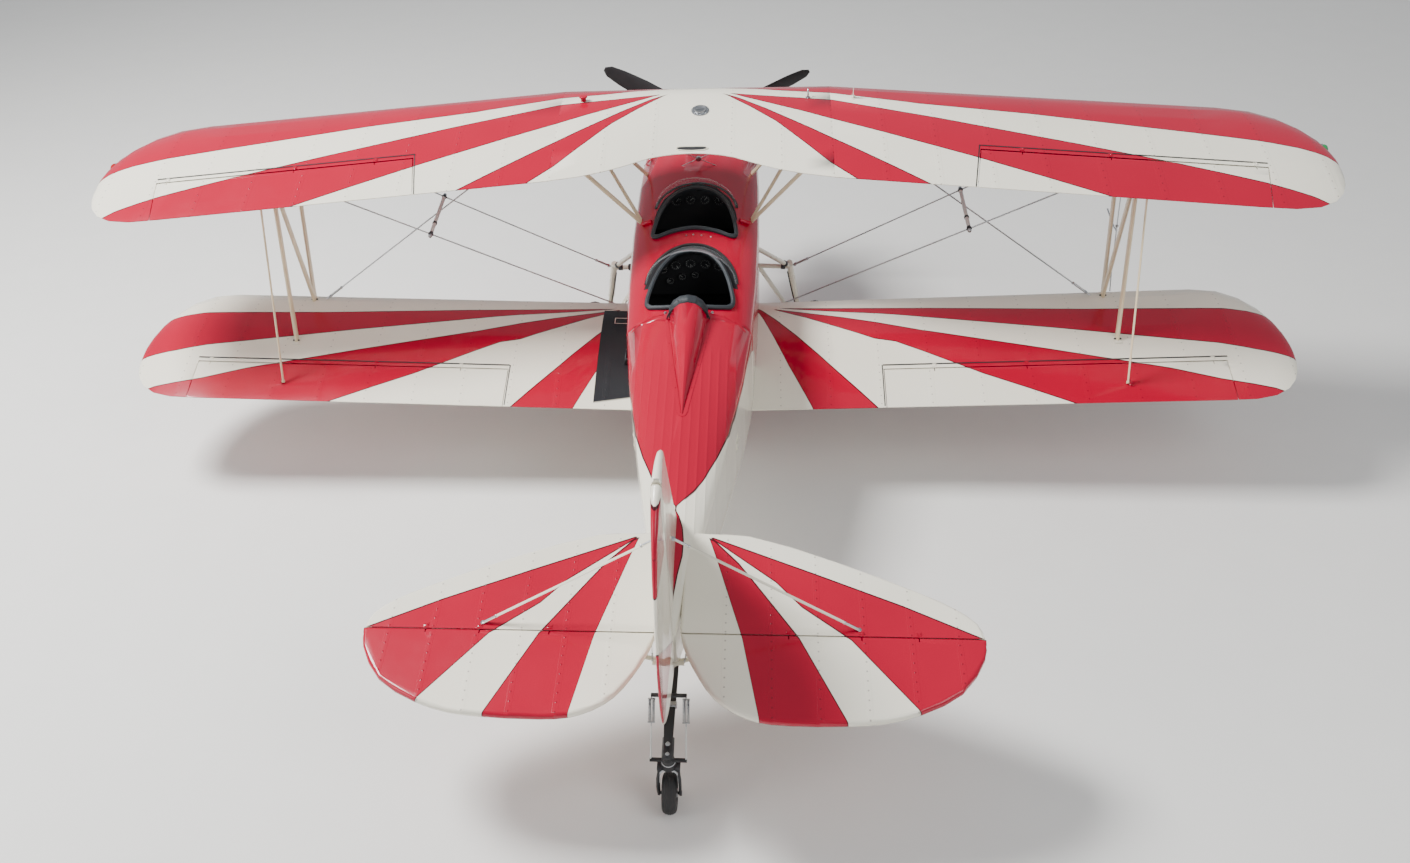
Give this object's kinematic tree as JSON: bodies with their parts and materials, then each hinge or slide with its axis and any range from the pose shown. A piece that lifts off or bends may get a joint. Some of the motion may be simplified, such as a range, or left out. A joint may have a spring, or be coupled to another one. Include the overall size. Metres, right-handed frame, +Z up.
{
  "type": "biplane",
  "caption": "Open-cockpit aerobatic biplane with tandem seats, a swept upper wing, N struts, wire-braced wings and tail, and a tailwheel, parked tail-down.",
  "frame": {"origin": "ground level, below the middle of the aircraft's bounding box", "axes": "+X to the right wing tip, +Y forward to the nose, +Z up; parked on its wheels with the tail down"},
  "size_m": [8.1272, 6.4742, 2.3381],
  "materials": {
    "fabric_red": "gloss",
    "fabric_cream": "gloss",
    "paint_red": "gloss",
    "paint_cream": "gloss",
    "paint_black": "satin",
    "steel": "satin",
    "alloy": "satin",
    "rubber": "matte",
    "trim": "matte",
    "seat_shell": "matte",
    "panel_black": "matte",
    "blade": "matte",
    "shell_red": "gloss",
    "clear": "gloss"
  },
  "bodies": {
    "airframe": {"fuselage": "fabric_red", "aft_fuselage": "fabric_red", "cowling": "paint_red", "engine_block": "alloy", "wing_center_section": "fabric_cream", "fin": "fabric_cream", "headrest_pad": "trim", "cockpit_rim_front": "trim", "windscreen_front": "clear", "instrument_panel_front": "panel_black", "seat_front": "seat_shell", "cockpit_rim_rear": "trim", "windscreen_rear": "clear", "instrument_panel_rear": "panel_black", "seat_rear": "seat_shell", "wing_upper_left": "fabric_cream", "wing_lower_left": "fabric_cream", "interplane_strut_left": "paint_cream", "cabane_left": "paint_cream", "gear_left": "paint_cream", "wires_left": "steel", "stabilizer_left": "fabric_cream", "tail_wire_left": "steel", "wing_upper_right": "fabric_cream", "wing_lower_right": "fabric_cream", "interplane_strut_right": "paint_cream", "cabane_right": "paint_cream", "gear_right": "paint_cream", "wires_right": "steel", "stabilizer_right": "fabric_cream", "tail_wire_right": "steel", "tail_struts": "paint_cream", "tail_spring": "paint_black"},
    "propeller": {"propeller": "blade", "spinner": "shell_red"},
    "wheel_left": {"tyre_left": "rubber", "wheel_hub_left": "alloy"},
    "wheel_right": {"tyre_right": "rubber", "wheel_hub_right": "alloy"},
    "rudder": {"rudder": "fabric_cream"},
    "tail_fork": {"tail_fork": "paint_black"},
    "tailwheel": {"tailwheel_tyre": "rubber", "tailwheel_hub": "alloy"},
    "elevator": {"elevator_left": "fabric_cream", "elevator_right": "fabric_cream"},
    "aileron_lower_left": {"aileron_lower_left": "fabric_cream"},
    "aileron_lower_right": {"aileron_lower_right": "fabric_cream"},
    "aileron_upper_left": {"aileron_upper_left": "fabric_cream"},
    "aileron_upper_right": {"aileron_upper_right": "fabric_cream"},
    "aileron_rod_left": {"aileron_rod_left": "paint_cream"},
    "aileron_rod_right": {"aileron_rod_right": "paint_cream"}
  },
  "joints": [
    {"name": "propeller_spin", "type": "hinge", "parent": "airframe", "child": "propeller", "pos_m": [0, 2.87765, 1.53636], "axis": [0, 0.9849, 0.1733], "continuous": true},
    {"name": "wheel_left_spin", "type": "hinge", "parent": "airframe", "child": "wheel_left", "pos_m": [-0.9, 1.7039, 0.21495], "axis": [1, 0, 0], "continuous": true},
    {"name": "wheel_right_spin", "type": "hinge", "parent": "airframe", "child": "wheel_right", "pos_m": [0.9, 1.7039, 0.21495], "axis": [1, 0, 0], "continuous": true},
    {"name": "rudder_hinge", "type": "hinge", "parent": "airframe", "child": "rudder", "pos_m": [0, -2.69361, 0.94184], "axis": [0, -0.1733, 0.9849], "range_deg": [-25, 25]},
    {"name": "tail_fork_steer", "type": "hinge", "parent": "airframe", "child": "tail_fork", "pos_m": [0, -2.97913, 0.37173], "axis": [0, -0.1733, 0.9849], "range_deg": [-25, 25]},
    {"name": "tailwheel_spin", "type": "hinge", "parent": "tail_fork", "child": "tailwheel", "pos_m": [0, -2.98384, 0.11], "axis": [1, 0, 0], "continuous": true},
    {"name": "elevator_hinge", "type": "hinge", "parent": "airframe", "child": "elevator", "pos_m": [0, -2.67018, 0.89519], "axis": [1, 0, 0], "range_deg": [-25, 25]},
    {"name": "aileron_lower_left_hinge", "type": "hinge", "parent": "airframe", "child": "aileron_lower_left", "pos_m": [-1.3, 0.10683, 0.73945], "axis": [0.9994, 0.006, -0.0344], "range_deg": [-25, 25]},
    {"name": "aileron_lower_right_hinge", "type": "hinge", "parent": "airframe", "child": "aileron_lower_right", "pos_m": [1.3, 0.10683, 0.73945], "axis": [0.9994, -0.006, 0.0344], "range_deg": [-25, 25]},
    {"name": "aileron_upper_left_hinge", "type": "hinge", "parent": "airframe", "child": "aileron_upper_left", "pos_m": [-1.88, 0.55046, 2.13936], "axis": [0.9882, 0.1507, 0.0265], "range_deg": [-25, 25]},
    {"name": "aileron_upper_right_hinge", "type": "hinge", "parent": "airframe", "child": "aileron_upper_right", "pos_m": [1.88, 0.55046, 2.13936], "axis": [0.9882, -0.1507, -0.0265], "range_deg": [-25, 25]},
    {"name": "aileron_rod_left_pivot", "type": "hinge", "parent": "aileron_lower_left", "child": "aileron_rod_left", "pos_m": [-2.87, -0.07025, 0.7937], "axis": [1, 0, 0], "range_deg": [-27, 27]},
    {"name": "aileron_rod_right_pivot", "type": "hinge", "parent": "aileron_lower_right", "child": "aileron_rod_right", "pos_m": [2.87, -0.07025, 0.7937], "axis": [1, 0, 0], "range_deg": [-27, 27]}
  ],
  "couplings": [
    {"joint": "aileron_lower_right_hinge", "follows": "aileron_lower_left_hinge", "ratio": -1},
    {"joint": "aileron_upper_left_hinge", "follows": "aileron_lower_left_hinge", "ratio": 1},
    {"joint": "aileron_upper_right_hinge", "follows": "aileron_lower_left_hinge", "ratio": -1},
    {"joint": "aileron_rod_left_pivot", "follows": "aileron_lower_left_hinge", "ratio": -1.07},
    {"joint": "aileron_rod_right_pivot", "follows": "aileron_lower_left_hinge", "ratio": 1.07},
    {"joint": "tail_fork_steer", "follows": "rudder_hinge", "ratio": 1}
  ]
}
